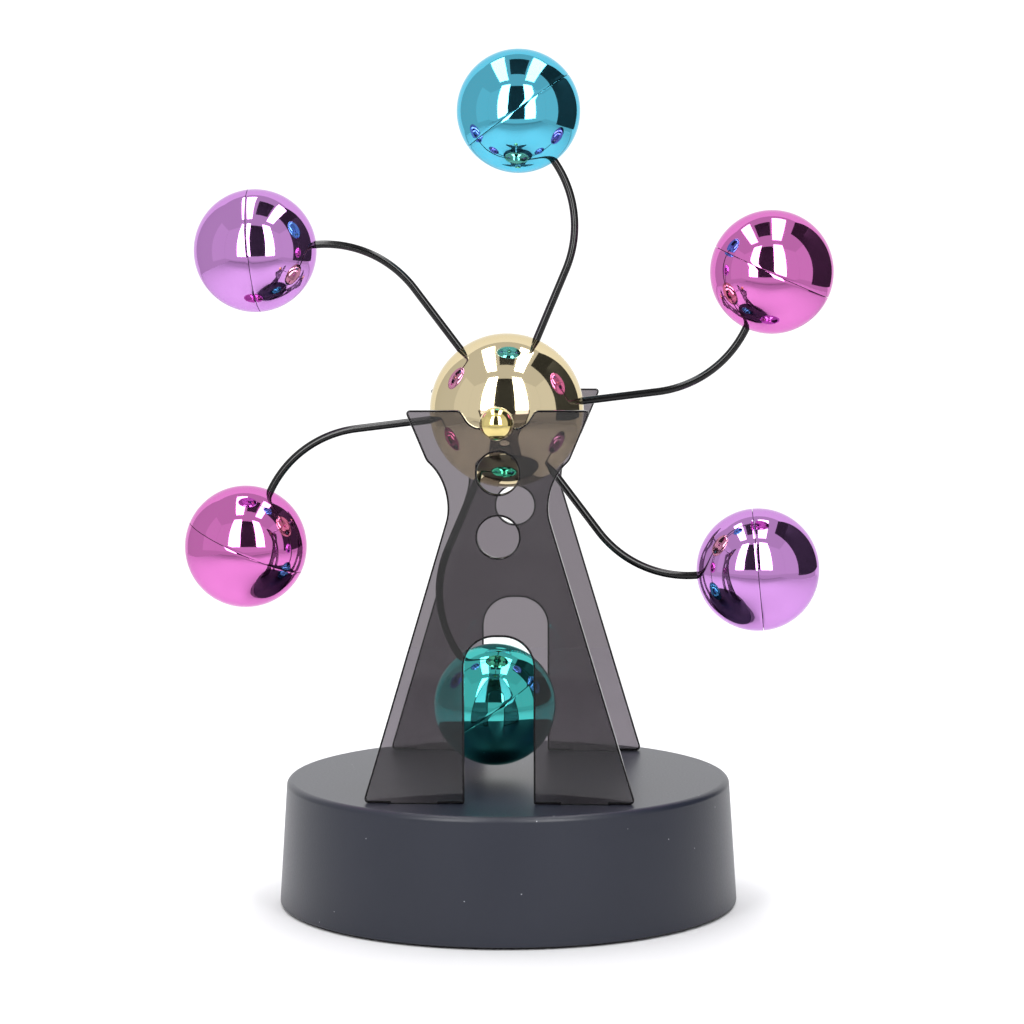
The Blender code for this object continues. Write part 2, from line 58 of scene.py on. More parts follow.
def start_piece(name):
    """Names the primitive that was just added and opens it in edit mode, with its place in its mesh."""
    piece = bpy.context.object
    piece.name = name
    leave_only(piece)
    bpy.ops.object.transform_apply(location=True, rotation=True, scale=True)
    bpy.ops.object.mode_set(mode="EDIT")
    bpy.ops.mesh.select_mode(type="VERT")
    return piece


def pick(kind, wanted):
    """In edit mode, selects the vertices, edges or faces for which wanted(item) is true."""
    bpy.ops.mesh.select_mode(type={"verts": "VERT", "edges": "EDGE", "faces": "FACE"}[kind])
    bpy.ops.mesh.select_all(action="DESELECT")
    shape = bmesh.from_edit_mesh(bpy.context.object.data)
    for item in getattr(shape, kind):
        if wanted(item):
            item.select_set(True)
    bmesh.update_edit_mesh(bpy.context.object.data)


def finish_mesh(piece, smooth_degrees=30):
    """Leaves edit mode, smooths all but the sharp edges and keeps the large faces' normals true."""
    if bpy.context.mode != "OBJECT":
        bpy.ops.object.mode_set(mode="OBJECT")
    leave_only(piece)
    bpy.ops.object.shade_smooth_by_angle(angle=math.radians(smooth_degrees))
    apply_modifier(piece, "WEIGHTED_NORMAL", weight=100, keep_sharp=True)


def apply_modifier(piece, kind, **settings):
    """Adds a modifier with its settings and applies it."""
    leave_only(piece)
    modifier = piece.modifiers.new(kind.lower(), kind)
    for name, value in settings.items():
        setattr(modifier, name, value)
    bpy.ops.object.modifier_apply(modifier=modifier.name)


def cut_away(piece, cutter):
    """Cuts the cutter's shape out of a piece and throws the cutter away."""
    apply_modifier(piece, "BOOLEAN", operation="DIFFERENCE", solver="EXACT", object=cutter)
    bpy.data.objects.remove(cutter, do_unlink=True)


def add_cutter_box(low, high):
    """A box between two corners, to cut with."""
    low, high = Vector(low), Vector(high)
    bpy.ops.object.select_all(action="DESELECT")
    bpy.ops.mesh.primitive_cube_add(size=1, location=(low + high) / 2)
    bpy.context.object.scale = high - low
    return bpy.context.object


def place_piece(piece, body, slot, *nodes):
    """Makes a finished piece ride on its body in place of its CAD nodes."""
    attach(piece, body)
    if nodes:
        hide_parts(*nodes)


def colour(hex_code):
    """An sRGB hex colour as the linear RGBA that a socket takes."""
    channels = [int(hex_code[i:i + 2], 16) / 255 for i in (1, 3, 5)]
    return (*[c / 12.92 if c <= 0.04045 else ((c + 0.055) / 1.055) ** 2.4 for c in channels], 1.0)


def add_node(tree, kind, links=None, **settings):
    """Adds a node, sets its properties and sockets by name, and links sockets into it."""
    node = tree.nodes.new(kind)
    for name, value in settings.items():
        if hasattr(node, name):
            setattr(node, name, value)
        else:
            node.inputs[name.replace("_", " ")].default_value = value
    for name, socket in (links or {}).items():
        tree.links.new(socket, node.inputs[name])
    return node


def start_material(name, **sockets):
    """A material whose Principled shader has these constant sockets. Returns it, its tree and its shader."""
    made = bpy.data.materials.new(name)
    made.use_nodes = True
    shader = made.node_tree.nodes["Principled BSDF"]
    for socket, value in sockets.items():
        shader.inputs[socket.replace("_", " ")].default_value = value
    return made, made.node_tree, shader


def paint(piece, *materials):
    piece.data.materials.clear()
    for material in materials:
        piece.data.materials.append(material)


def moulded_plastic(name, dark, light, roughness, grain_mm, grain_depth_mm, gloss=0.5):
    """Spark-eroded moulded plastic: fine grain that scatters the highlight, and faint flow shading."""
    made, tree, shader = start_material(name, IOR=1.5, Specular_IOR_Level=gloss)
    place = add_node(tree, "ShaderNodeTexCoord").outputs["Object"]
    grain = add_node(tree, "ShaderNodeTexNoise", {"Vector": place}, Scale=1000 / grain_mm, Detail=3.0)
    flow = add_node(tree, "ShaderNodeTexNoise", {"Vector": place}, Scale=45.0, Detail=2.0)
    tone = add_node(tree, "ShaderNodeMix", {"Factor": flow.outputs["Fac"]}, data_type="RGBA")
    tone.inputs["A"].default_value = colour(dark)
    tone.inputs["B"].default_value = colour(light)
    tree.links.new(tone.outputs["Result"], shader.inputs["Base Color"])
    polish = add_node(tree, "ShaderNodeMapRange", {"Value": grain.outputs["Fac"]})
    polish.inputs["To Min"].default_value = roughness - 0.05
    polish.inputs["To Max"].default_value = roughness + 0.05
    tree.links.new(polish.outputs["Result"], shader.inputs["Roughness"])
    relief = add_node(tree, "ShaderNodeBump", {"Height": grain.outputs["Fac"]}, Strength=0.5)
    relief.inputs["Distance"].default_value = grain_depth_mm / 1000
    tree.links.new(relief.outputs["Normal"], shader.inputs["Normal"])
    return made


def scatter_dust(material):
    """A few specks of pale dust, 0.3 mm across and some 10 mm apart, on top of a material's own colour."""
    tree = material.node_tree
    shader = tree.nodes["Principled BSDF"]
    under = shader.inputs["Base Color"].links[0].from_socket
    place = add_node(tree, "ShaderNodeTexCoord").outputs["Object"]
    cells = add_node(tree, "ShaderNodeTexVoronoi", {"Vector": place}, Scale=250.0)
    speck = add_node(tree, "ShaderNodeMath", {0: cells.outputs["Distance"]}, operation="LESS_THAN")
    speck.inputs[1].default_value = 0.03
    dusted = add_node(tree, "ShaderNodeMix", {"Factor": speck.outputs["Value"]}, data_type="RGBA")
    tree.links.new(under, dusted.inputs["A"])
    dusted.inputs["B"].default_value = colour("#909198")
    tree.links.new(dusted.outputs["Result"], shader.inputs["Base Color"])


base_low, base_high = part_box("base_shell")
base_radius = (base_high.x - base_low.x) / 2
base_top_z = base_high.z
draft = 0.965
base_wall = 0.0022
base_roof = 0.0025

bpy.ops.object.select_all(action="DESELECT")
bpy.ops.mesh.primitive_cylinder_add(
    vertices=192, radius=base_radius, depth=base_top_z - base_low.z, location=(0, 0, (base_top_z + base_low.z) / 2)
)
base = start_piece("base_moulding")
pick("faces", lambda face: face.normal.z > 0.9)
bpy.ops.transform.resize(value=(draft, draft, 1))
pick("faces", lambda face: face.normal.z < -0.9)
bpy.ops.mesh.inset(thickness=base_wall)
room_height = base_top_z - base_low.z - base_roof
bpy.ops.mesh.extrude_region_move(TRANSFORM_OT_translate={"value": (0, 0, room_height)})
bpy.ops.transform.resize(value=(draft, draft, 1))
pick("edges", lambda edge: all(v.co.z > base_top_z - 1e-5 for v in edge.verts))
bpy.ops.mesh.bevel(offset=0.0012, segments=8, affect="EDGES")
pick("edges", lambda edge: all(v.co.z < base_low.z + 1e-5 and v.co.xy.length > base_radius - 1e-4 for v in edge.verts))
bpy.ops.mesh.bevel(offset=0.0003, segments=3, affect="EDGES")
bpy.ops.object.mode_set(mode="OBJECT")

front_low, front_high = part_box("front_panel")
rear_low, rear_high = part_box("rear_panel")
panel_ys = ((front_low.y + front_high.y) / 2, (rear_low.y + rear_high.y) / 2)
panel_thickness = front_high.y - front_low.y
tab_x, tab_width = 0.017, 0.010
slot_play = 0.00015
for tab_side in (-1, 1):
    for panel_y in panel_ys:
        slot_cutter = add_cutter_box(
            (tab_side * tab_x - tab_width / 2 - slot_play, panel_y - panel_thickness / 2 - slot_play, base_top_z - 0.01),
            (tab_side * tab_x + tab_width / 2 + slot_play, panel_y + panel_thickness / 2 + slot_play, base_top_z + 0.01),
        )
        cut_away(base, slot_cutter)
finish_mesh(base)
slate_abs = moulded_plastic("slate_abs_spark_eroded", "#171a25", "#1b1e2a", 0.37, 0.45, 0.03, gloss=0.42)
scatter_dust(slate_abs)
paint(base, slate_abs)
place_piece(base, "stand", "base_black", "base_shell")


# Two side panels. Smoked acrylic, cut from 1.8 mm sheet and polished at the edges. The foot of each leg has a
# tab in the base, and the axle lies in the dish at the top.
def smoked_acrylic():
    """Cast acrylic dyed grey with a touch of violet, which absorbs with depth. Fine dust lightens it a little."""
    made, tree, shader = start_material(
        "smoked_acrylic", Base_Color=(1, 1, 1, 1), Roughness=0.0, IOR=1.49, Transmission_Weight=0.996
    )
    place = add_node(tree, "ShaderNodeTexCoord").outputs["Object"]
    waviness = add_node(tree, "ShaderNodeTexNoise", {"Vector": place}, Scale=60.0, Detail=1.0)
    relief = add_node(tree, "ShaderNodeBump", {"Height": waviness.outputs["Fac"]}, Strength=0.15, Distance=0.0001)
    tree.links.new(relief.outputs["Normal"], shader.inputs["Normal"])
    dye = add_node(tree, "ShaderNodeVolumeAbsorption", Color=(0.125, 0.068, 0.125, 1.0), Density=1000.0)
    output = tree.nodes["Material Output"]
    tree.links.new(dye.outputs["Volume"], output.inputs["Volume"])
    return made


def dark_edge_painted_shade():
    """The cut edges, flame-polished. Their near-black colour is painted shade for the dark lines that the edges show.
    """
    made, tree, shader = start_material(
        "acrylic_edge_painted_shade", Base_Color=colour("#0c0a0d"), IOR=1.49, Specular_IOR_Level=0.2,
        Transmission_Weight=0.08,
    )
    place = add_node(tree, "ShaderNodeTexCoord").outputs["Object"]
    ripple = add_node(tree, "ShaderNodeTexNoise", {"Vector": place}, Scale=400.0, Detail=2.0)
    polish = add_node(tree, "ShaderNodeMapRange", {"Value": ripple.outputs["Fac"]})
    polish.inputs["To Min"].default_value = 0.05
    polish.inputs["To Max"].default_value = 0.2
    tree.links.new(polish.outputs["Result"], shader.inputs["Roughness"])
    return made


axle_low, axle_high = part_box("axle")
axle_z = (axle_low.z + axle_high.z) / 2
axle_radius = (axle_high.x - axle_low.x) / 2
panel_foot_z = base_top_z + 0.00005
panel_top_z = front_high.z
tab_bottom_z = front_low.z
dish_z = axle_z - axle_radius - 0.0001

# Half of the outline as corners (x, z) with the length that rounding takes off each side, from the arch down.
half_outline = [
    (0.0069, 0.0596, 0.0061),
    (0.0069, panel_foot_z, 0.0004),
    (tab_x - tab_width / 2, panel_foot_z, 0),
    (tab_x - tab_width / 2, tab_bottom_z, 0),
    (tab_x + tab_width / 2, tab_bottom_z, 0),
    (tab_x + tab_width / 2, panel_foot_z, 0),
    (0.0272, panel_foot_z, 0.0013),
    (0.0084, 0.0890, 0.0068),
    (0.01415, 0.0946, 0.0006),
    (0.01835, panel_top_z, 0.0011),
    (0.0074, panel_top_z, 0.0006),
    (0.0052, dish_z, 0.0017),
]
outline = half_outline + [(-x, z, cut) for x, z, cut in reversed(half_outline)]

bpy.ops.object.select_all(action="DESELECT")
bpy.ops.mesh.primitive_plane_add(size=0.01)
front_panel = start_piece("front_panel_sheet")
bpy.ops.mesh.select_all(action="SELECT")
bpy.ops.mesh.merge(type="CENTER")
panel_front_y = panel_ys[0] - panel_thickness / 2
bpy.ops.transform.translate(value=(outline[0][0], panel_front_y, outline[0][1]))
for (x, z, _), (next_x, next_z, _) in zip(outline, outline[1:]):
    bpy.ops.mesh.extrude_vertices_move(TRANSFORM_OT_translate={"value": (next_x - x, 0, next_z - z)})
bpy.ops.mesh.select_all(action="SELECT")
bpy.ops.mesh.edge_face_add()
for x, z, cut in outline:
    if cut:
        pick("verts", lambda vert: abs(vert.co.x - x) < 1e-6 and abs(vert.co.z - z) < 1e-6)
        bpy.ops.mesh.bevel(offset=cut, segments=14 if cut > 0.003 else 6, affect="VERTICES")
bpy.ops.mesh.select_all(action="SELECT")
bpy.ops.mesh.extrude_region_move(TRANSFORM_OT_translate={"value": (0, panel_thickness, 0)})
bpy.ops.mesh.select_all(action="SELECT")
bpy.ops.mesh.normals_make_consistent(inside=False)
bpy.ops.object.mode_set(mode="OBJECT")
for hole_z, hole_radius in ((0.09215, 0.00415), (0.0795, 0.0041)):
    bpy.ops.object.select_all(action="DESELECT")
    bpy.ops.mesh.primitive_cylinder_add(
        vertices=72, radius=hole_radius, depth=0.01, location=(0, panel_ys[0], hole_z), rotation=(math.pi / 2, 0, 0)
    )
    cut_away(front_panel, bpy.context.object)
apply_modifier(
    front_panel, "BEVEL", width=0.00034, segments=3, limit_method="ANGLE", angle_limit=math.radians(50),
    use_clamp_overlap=True,
)
paint(front_panel, smoked_acrylic(), dark_edge_painted_shade())
bpy.ops.object.mode_set(mode="EDIT")
# The edge faces take the second material, whose near-black colour is painted shade.
pick("faces", lambda face: abs(face.normal.y) < 0.99)
front_panel.active_material_index = 1
bpy.ops.object.material_slot_assign()
finish_mesh(front_panel, 20)

leave_only(front_panel)
bpy.ops.object.duplicate()
rear_panel = bpy.context.object
rear_panel.name = "rear_panel_sheet"
rear_panel.location.y = panel_ys[1] - panel_ys[0]
leave_only(rear_panel)
bpy.ops.object.transform_apply(location=True)
for panel, node in ((front_panel, "front_panel"), (rear_panel, "rear_panel")):
    place_piece(panel, "stand", "panel_smoke", node)


# Axle. A ground steel rod of 2 mm that lies in both dishes, with its ends turned to a small chamfer.
def ground_steel(name, tint, roughness):
    """Centreless-ground steel: fine rings round the rod draw the highlight out along it."""
    made, tree, shader = start_material(name, Base_Color=colour(tint), Metallic=1.0)
    place = add_node(tree, "ShaderNodeTexCoord").outputs["Object"]
    rings = add_node(tree, "ShaderNodeMapping", {"Vector": place}, Scale=(400, 6000, 400))
    marks = add_node(tree, "ShaderNodeTexNoise", {"Vector": rings.outputs["Vector"]}, Scale=1.0, Detail=2.0)
    polish = add_node(tree, "ShaderNodeMapRange", {"Value": marks.outputs["Fac"]})
    polish.inputs["To Min"].default_value = roughness - 0.06
    polish.inputs["To Max"].default_value = roughness + 0.08
    tree.links.new(polish.outputs["Result"], shader.inputs["Roughness"])
    relief = add_node(tree, "ShaderNodeBump", {"Height": marks.outputs["Fac"]}, Strength=0.2, Distance=0.00001)
    tree.links.new(relief.outputs["Normal"], shader.inputs["Normal"])
    return made


bpy.ops.object.select_all(action="DESELECT")
bpy.ops.mesh.primitive_cylinder_add(
    vertices=48, radius=axle_radius, depth=axle_high.y - axle_low.y, location=(0, 0, axle_z),
    rotation=(math.pi / 2, 0, 0),
)
axle = start_piece("axle_rod")
pick("edges", lambda edge: all(abs(v.co.y) > axle_high.y - 1e-5 for v in edge.verts))
bpy.ops.mesh.bevel(offset=0.0002, segments=2, affect="EDGES")
finish_mesh(axle)
paint(axle, ground_steel("ground_axle_steel", "#c9c9ca", 0.22))
place_piece(axle, "rotor", "axle_steel", "axle")


# Hub. Two moulded half shells, vacuum-metallised under a champagne lacquer. They close on the axle and clamp
# the six arms where they leave through the joint.
def metallised_plastic(name, tint, edge_tint):
    """Bright aluminium film under tinted clear lacquer: a mirror with a paler rim and a faint ripple."""
    made, tree, shader = start_material(
        name, Base_Color=colour(tint), Metallic=1.0, Specular_Tint=colour(edge_tint), Coat_Weight=0.4,
        Coat_Roughness=0.02, Coat_IOR=1.5,
    )
    place = add_node(tree, "ShaderNodeTexCoord").outputs["Object"]
    haze = add_node(tree, "ShaderNodeTexNoise", {"Vector": place}, Scale=250.0, Detail=3.0)
    polish = add_node(tree, "ShaderNodeMapRange", {"Value": haze.outputs["Fac"]})
    polish.inputs["To Min"].default_value = 0.03
    polish.inputs["To Max"].default_value = 0.07
    tree.links.new(polish.outputs["Result"], shader.inputs["Roughness"])
    ripple = add_node(tree, "ShaderNodeTexNoise", {"Vector": place}, Scale=220.0, Detail=1.0)
    relief = add_node(tree, "ShaderNodeBump", {"Height": ripple.outputs["Fac"]}, Strength=0.25, Distance=0.00008)
    tree.links.new(relief.outputs["Normal"], shader.inputs["Normal"])
    return made


hub_low, hub_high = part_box("hub_front_shell")
hub_radius = -hub_low.y
hub_centre = Vector((0, 0, axle_z))
seam_half_gap = 0.00006
arm_wire_radius = 0.0008
spoke_count = 6
top_spoke_angle = math.radians(87.55)
arm_leaves_hub_at = math.radians(-20.5)


def along(angle):
    """The direction at this angle in the rotor's plane, turning from +X towards +Z."""
    return Vector((math.cos(angle), 0, math.sin(angle)))


def cut_half_shell(half, centre, outwards):
    """Keeps the half of a sphere that lies outwards, and draws its rim back by half of the joint's gap."""
    bpy.ops.mesh.select_all(action="SELECT")
    bpy.ops.mesh.bisect(plane_co=centre, plane_no=outwards, clear_inner=True)
    pick("verts", lambda vert: abs((vert.co - centre).dot(outwards)) < 1e-6)
    bpy.ops.transform.translate(value=outwards * seam_half_gap)


def close_joint_inside(half, centre, outwards, inner_radius):
    """Brings the inner edge of the rim back to the joint plane, so that the joint is a fine V and no light gets in."""
    bpy.ops.object.mode_set(mode="EDIT")
    pick("verts", lambda vert: (
        (vert.co - centre).length < inner_radius + 0.0002 and (vert.co - centre).dot(outwards) < 3 * seam_half_gap
    ))
    bpy.ops.transform.translate(value=-outwards * (seam_half_gap - 0.000003))
    bpy.ops.object.mode_set(mode="OBJECT")


def hub_half(name, side):
    """The half of the hub on the -Y or the +Y side."""
    bpy.ops.object.select_all(action="DESELECT")
    bpy.ops.mesh.primitive_uv_sphere_add(
        segments=128, ring_count=64, radius=hub_radius, location=hub_centre, rotation=(math.pi / 2, 0, 0)
    )
    half = start_piece(name)
    outwards = Vector((0, side, 0))
    bore = axle_radius + 0.0001
    cut_half_shell(half, hub_centre, outwards)
    bpy.ops.mesh.select_all(action="SELECT")
    pole = hub_centre + outwards * math.sqrt(hub_radius**2 - bore**2)
    bpy.ops.mesh.bisect(plane_co=pole, plane_no=outwards, clear_outer=True)
    bpy.ops.object.mode_set(mode="OBJECT")
    apply_modifier(half, "SOLIDIFY", thickness=0.0016, offset=-1, use_rim=True)
    close_joint_inside(half, hub_centre, outwards, hub_radius - 0.0016)
    for k in range(spoke_count // 2):
        direction = along(top_spoke_angle + arm_leaves_hub_at + k * math.tau / spoke_count)
        bpy.ops.object.select_all(action="DESELECT")
        bpy.ops.mesh.primitive_cylinder_add(
            vertices=40, radius=arm_wire_radius + 0.00008, depth=3 * hub_radius, location=hub_centre,
            rotation=direction.to_track_quat("Z", "Y").to_euler(),
        )
        cut_away(half, bpy.context.object)
    apply_modifier(
        half, "BEVEL", width=0.00004, segments=2, limit_method="ANGLE", angle_limit=math.radians(50)
    )
    finish_mesh(half)
    return half


champagne = metallised_plastic("champagne_metallised_abs", "#ddcda7", "#e2dac2")
for name, side, node in (("hub_front", -1, "hub_front_shell"), ("hub_rear", 1, "hub_rear_shell")):
    half = hub_half(name, side)
    paint(half, champagne)
    place_piece(half, "rotor", "hub_champagne", node)


# Arms. Spring wire of 1.6 mm in glossy black lacquer, bent once to a wide bow. The inner end is clamped in the
# hub and the outer end is pressed into the ball. One arm is made and the other five are copies of it.
def black_lacquer():
    """Dipped enamel on wire: deep black, with slight runs that break the long highlight."""
    made, tree, shader = start_material(
        "black_lacquered_wire", Base_Color=colour("#060607"), IOR=1.5, Specular_IOR_Level=0.35
    )
    place = add_node(tree, "ShaderNodeTexCoord").outputs["Object"]
    runs = add_node(tree, "ShaderNodeTexNoise", {"Vector": place}, Scale=500.0, Detail=2.0)
    polish = add_node(tree, "ShaderNodeMapRange", {"Value": runs.outputs["Fac"]})
    polish.inputs["To Min"].default_value = 0.12
    polish.inputs["To Max"].default_value = 0.22
    tree.links.new(polish.outputs["Result"], shader.inputs["Roughness"])
    relief = add_node(tree, "ShaderNodeBump", {"Height": runs.outputs["Fac"]}, Strength=0.12, Distance=0.00003)
    tree.links.new(relief.outputs["Normal"], shader.inputs["Normal"])
    return made


ball_ring_radius = 0.0612
arm_enters_ball_at = math.radians(38.0)
arm_bend_radius = 0.023
arm_root_radius = 0.0034
arm_end_to_ball = 0.0083
root_way, entry_way = along(arm_leaves_hub_at), along(arm_enters_ball_at)
bend_angle = arm_enters_ball_at - arm_leaves_hub_at
corner_distance = ball_ring_radius * math.sin(arm_enters_ball_at) / math.sin(bend_angle)
straight_end = corner_distance - arm_bend_radius * math.tan(bend_angle / 2)
root_left = Vector((-root_way.z, 0, root_way.x))
bend_start = root_way * straight_end
bend_centre = bend_start + root_left * arm_bend_radius
bend_end = bend_centre + (Vector((entry_way.z, 0, -entry_way.x))) * arm_bend_radius
arm_tip = Vector((ball_ring_radius, 0, 0)) - entry_way * arm_end_to_ball

bpy.ops.object.select_all(action="DESELECT")
bpy.ops.mesh.primitive_circle_add(
    vertices=24, radius=arm_wire_radius, location=root_way * arm_root_radius,
    rotation=root_way.to_track_quat("Z", "Y").to_euler(),
)
arm = start_piece("arm_1_wire")
bpy.ops.mesh.select_all(action="SELECT")
bpy.ops.mesh.extrude_region_move(
    TRANSFORM_OT_translate={"value": root_way * (straight_end - arm_root_radius)}
)
bpy.ops.mesh.spin(steps=36, angle=bend_angle, center=bend_centre, axis=(0, 1, 0))
bpy.ops.mesh.extrude_region_move(TRANSFORM_OT_translate={"value": arm_tip - bend_end})
for end in (root_way * arm_root_radius, arm_tip):
    pick("edges", lambda edge: edge.is_boundary and (edge.verts[0].co - end).length < 2 * arm_wire_radius)
    bpy.ops.mesh.edge_face_add()
bpy.ops.mesh.select_all(action="SELECT")
bpy.ops.mesh.remove_doubles(threshold=0.000001)
bpy.ops.mesh.normals_make_consistent(inside=False)
finish_mesh(arm, 40)
paint(arm, black_lacquer())


def copy_to_spoke(piece, name, number):
    """A copy of a piece made for a ball on +X, turned to its own spoke, with its own mesh."""
    angle = top_spoke_angle - (number - 1) * math.tau / spoke_count
    leave_only(piece)
    bpy.ops.object.duplicate()
    copy = bpy.context.object
    copy.name = name
    copy.rotation_euler = (0, -angle, 0)
    copy.location = hub_centre
    leave_only(copy)
    bpy.ops.object.transform_apply(location=True, rotation=True)
    return copy


for number in range(1, spoke_count + 1):
    copy = copy_to_spoke(arm, f"arm_{number}_bow", number)
    place_piece(copy, "rotor", "arm_black", f"arm_{number}")
bpy.data.objects.remove(arm, do_unlink=True)


# Balls. Each is two half shells, metallised and lacquered in one of four tints. The inner half has a hole at
# its pole for the arm, and a fine joint shows where the halves meet, square to the arm.
ball_radius = 0.01265
ball_centre = Vector((ball_ring_radius, 0, 0))


def ball_half(name, side):
    """The outer half for side 1, the inner half with the arm's hole for side -1."""
    bpy.ops.object.select_all(action="DESELECT")
    bpy.ops.mesh.primitive_uv_sphere_add(
        segments=128, ring_count=64, radius=ball_radius, location=ball_centre,
        rotation=entry_way.to_track_quat("Z", "Y").to_euler(),
    )
    half = start_piece(name)
    outwards = entry_way * side
    cut_half_shell(half, ball_centre, outwards)
    if side < 0:
        hole = arm_wire_radius + 0.00006
        depth = math.sqrt(ball_radius**2 - hole**2)
        bpy.ops.mesh.select_all(action="SELECT")
        bpy.ops.mesh.bisect(plane_co=ball_centre + outwards * depth, plane_no=outwards, clear_outer=True)
    bpy.ops.object.mode_set(mode="OBJECT")
    apply_modifier(half, "SOLIDIFY", thickness=0.0012, offset=-1, use_rim=True)
    close_joint_inside(half, ball_centre, outwards, ball_radius - 0.0012)
    apply_modifier(
        half, "BEVEL", width=0.00003, segments=2, limit_method="ANGLE", angle_limit=math.radians(50)
    )
    finish_mesh(half)
    return half


tints = {
    "cyan": metallised_plastic("cyan_metallised_abs", "#55bcd8", "#a8dcea"),
    "pink": metallised_plastic("pink_metallised_abs", "#d671c0", "#e0b4d8"),
    "violet": metallised_plastic("violet_metallised_abs", "#c78bd4", "#dcc0e4"),
    "teal": metallised_plastic("teal_metallised_abs", "#3cb4b0", "#9cdcd8"),
}
tint_order = ("cyan", "pink", "violet", "teal", "pink", "violet")
for side, half_name in ((-1, "inner"), (1, "outer")):
    model = ball_half(f"{half_name}_half", side)
    for number, tint in enumerate(tint_order, 1):
        copy = copy_to_spoke(model, f"ball_{number}_{half_name}_shell", number)
        paint(copy, tints[tint])
        place_piece(copy, "rotor", f"ball_{tint}", f"ball_{number}_{half_name}_half")
    bpy.data.objects.remove(model, do_unlink=True)


# End balls. Solid brass, turned and polished, pressed on the ends of the axle so that it can't slide out.
def polished_brass():
    """Lacquered brass off the polishing wheel: yellow, with soft wheel marks."""
    made, tree, shader = start_material(
        "polished_brass", Base_Color=colour("#e3cf86"), Metallic=1.0, Coat_Weight=0.4, Coat_Roughness=0.03
    )
    place = add_node(tree, "ShaderNodeTexCoord").outputs["Object"]
    marks = add_node(tree, "ShaderNodeTexNoise", {"Vector": place}, Scale=900.0, Detail=3.0)
    polish = add_node(tree, "ShaderNodeMapRange", {"Value": marks.outputs["Fac"]})
    polish.inputs["To Min"].default_value = 0.04
    polish.inputs["To Max"].default_value = 0.12
    tree.links.new(polish.outputs["Result"], shader.inputs["Roughness"])
    relief = add_node(tree, "ShaderNodeBump", {"Height": marks.outputs["Fac"]}, Strength=0.1, Distance=0.00002)
    tree.links.new(relief.outputs["Normal"], shader.inputs["Normal"])
    return made


brass = polished_brass()
for node, side in (("end_ball_front", -1), ("end_ball_rear", 1)):
    low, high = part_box(node)
    end_radius = (high.x - low.x) / 2
    pole_y = low.y if side < 0 else high.y
    bpy.ops.object.select_all(action="DESELECT")
    bpy.ops.mesh.primitive_uv_sphere_add(
        segments=64, ring_count=32, radius=end_radius, location=(0, pole_y - side * end_radius, axle_z),
        rotation=(math.pi / 2, 0, 0),
    )
    end_ball = start_piece(f"{node}_turned")
    bpy.ops.object.mode_set(mode="OBJECT")
    bpy.ops.object.select_all(action="DESELECT")
    bpy.ops.mesh.primitive_cylinder_add(
        vertices=48, radius=axle_radius + 0.00005, depth=2 * (axle_high.y + 0.0001), location=(0, 0, axle_z),
        rotation=(math.pi / 2, 0, 0),
    )
    cut_away(end_ball, bpy.context.object)
    finish_mesh(end_ball)
    paint(end_ball, brass)
    place_piece(end_ball, "rotor", "end_ball_gold", node)


# Pieces under the base. The cover, its door and the feet are seen only from below.
def paint_nodes(material, *nodes):
    """Gives CAD nodes that keep their shape a finished material."""
    for node in nodes:
        paint(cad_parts[node], material)


paint_nodes(
    moulded_plastic("black_abs_cover", "#1d1d20", "#242428", 0.5, grain_mm=0.3, grain_depth_mm=0.03),
    "bottom_cover", "battery_door",
)
paint_nodes(
    moulded_plastic("black_rubber_feet", "#161616", "#1e1e1e", 0.8, grain_mm=0.5, grain_depth_mm=0.05),
    *[f"foot_{k}" for k in range(1, 5)],
)


# Steel pieces inside and under the base: screws, springs, contacts and the magnets in the balls.
paint_nodes(ground_steel("zinc_plated_steel", "#b9babd", 0.32), *[f"cover_screw_{k}" for k in range(1, 5)])
paint_nodes(
    ground_steel("nickel_plated_steel", "#cfccc4", 0.24),
    *[f"contact_spring_{k}" for k in range(1, 5)],
    *[f"contact_plate_{k}" for k in range(1, 6)],
    *[f"magnet_{k}" for k in range(1, 7)],
)


# Cells. Steel cans in a printed film sleeve: dark, with a copper-coloured band at the positive end.
def cell_sleeve(name, facing):
    """Printed film, glossy. facing is the side of the positive end, -1 or 1 along Y."""
    made, tree, shader = start_material(name, Metallic=0.3, Coat_Weight=0.5, Coat_Roughness=0.1)
    place = add_node(tree, "ShaderNodeTexCoord").outputs["Object"]
    height = add_node(tree, "ShaderNodeSeparateXYZ", {"Vector": place}).outputs["Y"]
    band = add_node(tree, "ShaderNodeMath", {0: height}, operation="MULTIPLY")
    band.inputs[1].default_value = facing
    edge = add_node(tree, "ShaderNodeMath", {0: band.outputs["Value"]}, operation="GREATER_THAN")
    edge.inputs[1].default_value = 0.012
    print_tone = add_node(tree, "ShaderNodeMix", {"Factor": edge.outputs["Value"]}, data_type="RGBA")
    print_tone.inputs["A"].default_value = colour("#17191f")
    print_tone.inputs["B"].default_value = colour("#b9773f")
    tree.links.new(print_tone.outputs["Result"], shader.inputs["Base Color"])
    grain = add_node(tree, "ShaderNodeTexNoise", {"Vector": place}, Scale=700.0)
    polish = add_node(tree, "ShaderNodeMapRange", {"Value": grain.outputs["Fac"]})
    polish.inputs["To Min"].default_value = 0.2
    polish.inputs["To Max"].default_value = 0.32
    tree.links.new(polish.outputs["Result"], shader.inputs["Roughness"])
    return made


front_sleeve = cell_sleeve("cell_sleeve_front", -1)
rear_sleeve = cell_sleeve("cell_sleeve_rear", 1)
paint_nodes(front_sleeve, "cell_1", "cell_3")
paint_nodes(rear_sleeve, "cell_2", "cell_4")


